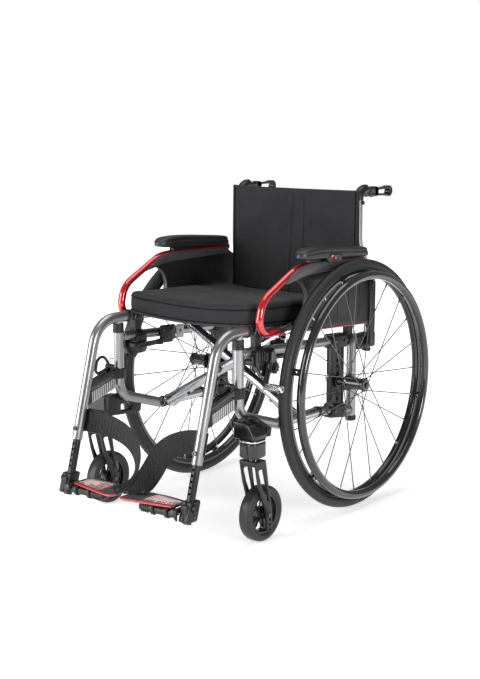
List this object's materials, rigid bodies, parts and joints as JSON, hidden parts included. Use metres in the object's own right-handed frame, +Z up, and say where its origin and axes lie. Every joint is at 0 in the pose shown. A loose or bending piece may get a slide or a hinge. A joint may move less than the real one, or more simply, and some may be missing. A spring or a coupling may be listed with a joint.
{
  "type": "folding active wheelchair",
  "caption": "Folding wheelchair with an X cross brace, spoked rear wheels with handrims, casters, swing-away legrests, flip-back armrests and a sling seat with a cushion.",
  "frame": {"origin": "on the floor under the middle of the chair's outline", "axes": "+Z up, the chair faces -Y, +X is its occupant's left"},
  "size_m": [0.56, 0.8679, 0.7538],
  "materials": {
    "frame": "grey metallic paint",
    "black_metal": "black anodised",
    "bright_metal": "knurled, bright",
    "red_metal": "red metallic paint",
    "black_plastic": "matt black",
    "gloss_black": "glossy black",
    "red_plastic": "glossy red",
    "plate": "clear with a red front edge",
    "pad": "soft black",
    "tyre": "black",
    "caster_tyre": "black, smooth",
    "cloth": "black woven cover",
    "webbing": "ribbed black webbing"
  },
  "bodies": {
    "left_frame": {"left_side_frame": "frame", "left_axle_plate": "black_metal", "left_caster_housing": "gloss_black", "left_brake_body": "black_plastic", "left_back_cane": "frame", "left_armrest_block": "black_plastic", "back_upholstery": "cloth"},
    "rear_arm": {"cross_arm_rear": "frame", "cross_bolt": "black_metal"},
    "front_arm": {"cross_arm_front": "frame", "seat_sling": "cloth", "seat_cushion": "cloth"},
    "right_frame": {"right_side_frame": "frame", "right_axle_plate": "black_metal", "right_caster_housing": "gloss_black", "right_brake_body": "black_plastic", "right_back_cane": "frame", "right_armrest_block": "black_plastic"},
    "left_wheel_set": {"left_wheel": "black_metal", "left_tyre": "tyre", "left_handrim": "black_metal"},
    "left_button": {"left_axle_button": "black_plastic"},
    "left_fork": {"left_caster_fork": "black_metal"},
    "left_caster": {"left_caster_wheel": "black_plastic", "left_caster_tyre": "caster_tyre"},
    "left_legrest": {"left_hanger": "frame", "left_footrest_tube": "black_metal", "left_footplate_bracket": "black_plastic", "left_heel_strap": "webbing"},
    "left_latch": {"left_hanger_latch": "black_plastic"},
    "left_foot": {"left_footplate_bar": "black_plastic", "left_footplate": "plate"},
    "left_armrest": {"left_armrest_tube": "red_metal", "left_side_guard": "black_plastic", "left_arm_pad": "pad"},
    "left_armrest_button": {"left_pad_button": "red_plastic"},
    "left_lever": {"left_brake_lever": "black_metal"},
    "left_shoe": {"left_brake_shoe": "bright_metal"},
    "left_handle": {"left_push_handle": "pad"},
    "right_wheel_set": {"right_wheel": "black_metal", "right_tyre": "tyre", "right_handrim": "black_metal"},
    "right_button": {"right_axle_button": "black_plastic"},
    "right_fork": {"right_caster_fork": "black_metal"},
    "right_caster": {"right_caster_wheel": "black_plastic", "right_caster_tyre": "caster_tyre"},
    "right_legrest": {"right_hanger": "frame", "right_footrest_tube": "black_metal", "right_footplate_bracket": "black_plastic", "right_heel_strap": "webbing"},
    "right_latch": {"right_hanger_latch": "black_plastic"},
    "right_foot": {"right_footplate_bar": "black_plastic", "right_footplate": "plate"},
    "right_armrest": {"right_armrest_tube": "red_metal", "right_side_guard": "black_plastic", "right_arm_pad": "pad"},
    "right_armrest_button": {"right_pad_button": "red_plastic"},
    "right_lever": {"right_brake_lever": "black_metal"},
    "right_shoe": {"right_brake_shoe": "bright_metal"},
    "right_handle": {"right_push_handle": "pad"}
  },
  "joints": [
    {"name": "fold", "type": "hinge", "parent": "left_frame", "child": "rear_arm", "pos_m": [0.18, -0.008, 0.231], "axis": [0, 1, 0], "range_deg": [0, 40], "deforming": ["seat_sling", "seat_cushion", "back_upholstery"]},
    {"name": "cross_turn", "type": "hinge", "parent": "rear_arm", "child": "front_arm", "pos_m": [0, -0.068, 0.33303], "axis": [0, 1, 0], "range_deg": [-80, 0]},
    {"name": "right_frame_turn", "type": "hinge", "parent": "front_arm", "child": "right_frame", "pos_m": [-0.18, -0.068, 0.231], "axis": [0, 1, 0], "range_deg": [0, 40]},
    {"name": "left_wheel_spin", "type": "hinge", "parent": "left_frame", "child": "left_wheel_set", "pos_m": [0.24, 0.139, 0.295], "axis": [1, 0, 0], "continuous": true},
    {"name": "left_axle_release", "type": "slide", "parent": "left_wheel_set", "child": "left_button", "axis": [-1, 0, 0], "range_m": [0, 0.0025], "stiffness_N_per_m": 400, "springref_m": -0.002},
    {"name": "left_caster_swivel", "type": "hinge", "parent": "left_frame", "child": "left_fork", "pos_m": [0.233, -0.241, 0.188], "axis": [0, 0, 1], "continuous": true},
    {"name": "left_caster_spin", "type": "hinge", "parent": "left_fork", "child": "left_caster", "pos_m": [0.233, -0.216, 0.0625], "axis": [1, 0, 0], "continuous": true},
    {"name": "left_hanger_swing", "type": "hinge", "parent": "left_frame", "child": "left_legrest", "pos_m": [0.18, -0.228, 0.457], "axis": [0, 0, 1], "range_deg": [0, 90]},
    {"name": "left_hanger_release", "type": "hinge", "parent": "left_legrest", "child": "left_latch", "pos_m": [0.18, -0.258, 0.3458], "axis": [-1, 0, 0], "range_deg": [0, 20]},
    {"name": "left_footplate_flip", "type": "hinge", "parent": "left_legrest", "child": "left_foot", "pos_m": [0.158, -0.40592, 0.097], "axis": [0, 1, 0], "range_deg": [0, 88], "deforming": ["left_heel_strap"]},
    {"name": "left_armrest_flip", "type": "hinge", "parent": "left_frame", "child": "left_armrest", "pos_m": [0.207, 0.249, 0.378], "axis": [-1, 0, 0], "range_deg": [0, 100]},
    {"name": "left_pad_release", "type": "slide", "parent": "left_armrest", "child": "left_armrest_button", "axis": [-1, 0, 0], "range_m": [0, 0.0012], "stiffness_N_per_m": 400, "springref_m": -0.002},
    {"name": "left_brake_lever_turn", "type": "hinge", "parent": "left_frame", "child": "left_lever", "pos_m": [0.164, -0.179, 0.3852], "axis": [-1, 0, 0], "range_deg": [0, 40]},
    {"name": "left_brake_shoe_turn", "type": "hinge", "parent": "left_frame", "child": "left_shoe", "pos_m": [0.2133, -0.161, 0.379], "axis": [1, 0, 0], "range_deg": [0, 14.4]},
    {"name": "left_handle_fold", "type": "hinge", "parent": "left_frame", "child": "left_handle", "pos_m": [0.18, 0.269, 0.737], "axis": [-1, 0, 0], "range_deg": [0, 85]},
    {"name": "right_wheel_spin", "type": "hinge", "parent": "right_frame", "child": "right_wheel_set", "pos_m": [-0.24, 0.139, 0.295], "axis": [1, 0, 0], "continuous": true},
    {"name": "right_axle_release", "type": "slide", "parent": "right_wheel_set", "child": "right_button", "axis": [1, 0, 0], "range_m": [0, 0.0025], "stiffness_N_per_m": 400, "springref_m": -0.002},
    {"name": "right_caster_swivel", "type": "hinge", "parent": "right_frame", "child": "right_fork", "pos_m": [-0.233, -0.241, 0.188], "axis": [0, 0, 1], "continuous": true},
    {"name": "right_caster_spin", "type": "hinge", "parent": "right_fork", "child": "right_caster", "pos_m": [-0.233, -0.216, 0.0625], "axis": [1, 0, 0], "continuous": true},
    {"name": "right_hanger_swing", "type": "hinge", "parent": "right_frame", "child": "right_legrest", "pos_m": [-0.18, -0.228, 0.457], "axis": [0, 0, -1], "range_deg": [0, 90]},
    {"name": "right_hanger_release", "type": "hinge", "parent": "right_legrest", "child": "right_latch", "pos_m": [-0.18, -0.258, 0.3458], "axis": [-1, 0, 0], "range_deg": [0, 20]},
    {"name": "right_footplate_flip", "type": "hinge", "parent": "right_legrest", "child": "right_foot", "pos_m": [-0.158, -0.40592, 0.097], "axis": [0, -1, 0], "range_deg": [0, 88], "deforming": ["right_heel_strap"]},
    {"name": "right_armrest_flip", "type": "hinge", "parent": "right_frame", "child": "right_armrest", "pos_m": [-0.207, 0.249, 0.378], "axis": [-1, 0, 0], "range_deg": [0, 100]},
    {"name": "right_pad_release", "type": "slide", "parent": "right_armrest", "child": "right_armrest_button", "axis": [1, 0, 0], "range_m": [0, 0.0012], "stiffness_N_per_m": 400, "springref_m": -0.002},
    {"name": "right_brake_lever_turn", "type": "hinge", "parent": "right_frame", "child": "right_lever", "pos_m": [-0.164, -0.179, 0.3852], "axis": [-1, 0, 0], "range_deg": [0, 40]},
    {"name": "right_brake_shoe_turn", "type": "hinge", "parent": "right_frame", "child": "right_shoe", "pos_m": [-0.2133, -0.161, 0.379], "axis": [1, 0, 0], "range_deg": [0, 14.4]},
    {"name": "right_handle_fold", "type": "hinge", "parent": "right_frame", "child": "right_handle", "pos_m": [-0.18, 0.269, 0.737], "axis": [-1, 0, 0], "range_deg": [0, 85]}
  ],
  "couplings": [
    {"joint": "cross_turn", "follows": "fold", "ratio": -2},
    {"joint": "right_frame_turn", "follows": "fold", "ratio": 1},
    {"joint": "left_footplate_flip", "follows": "fold", "ratio": 2.2},
    {"joint": "left_brake_shoe_turn", "follows": "left_brake_lever_turn", "ratio": 0.36},
    {"joint": "right_footplate_flip", "follows": "fold", "ratio": 2.2},
    {"joint": "right_brake_shoe_turn", "follows": "right_brake_lever_turn", "ratio": 0.36}
  ]
}
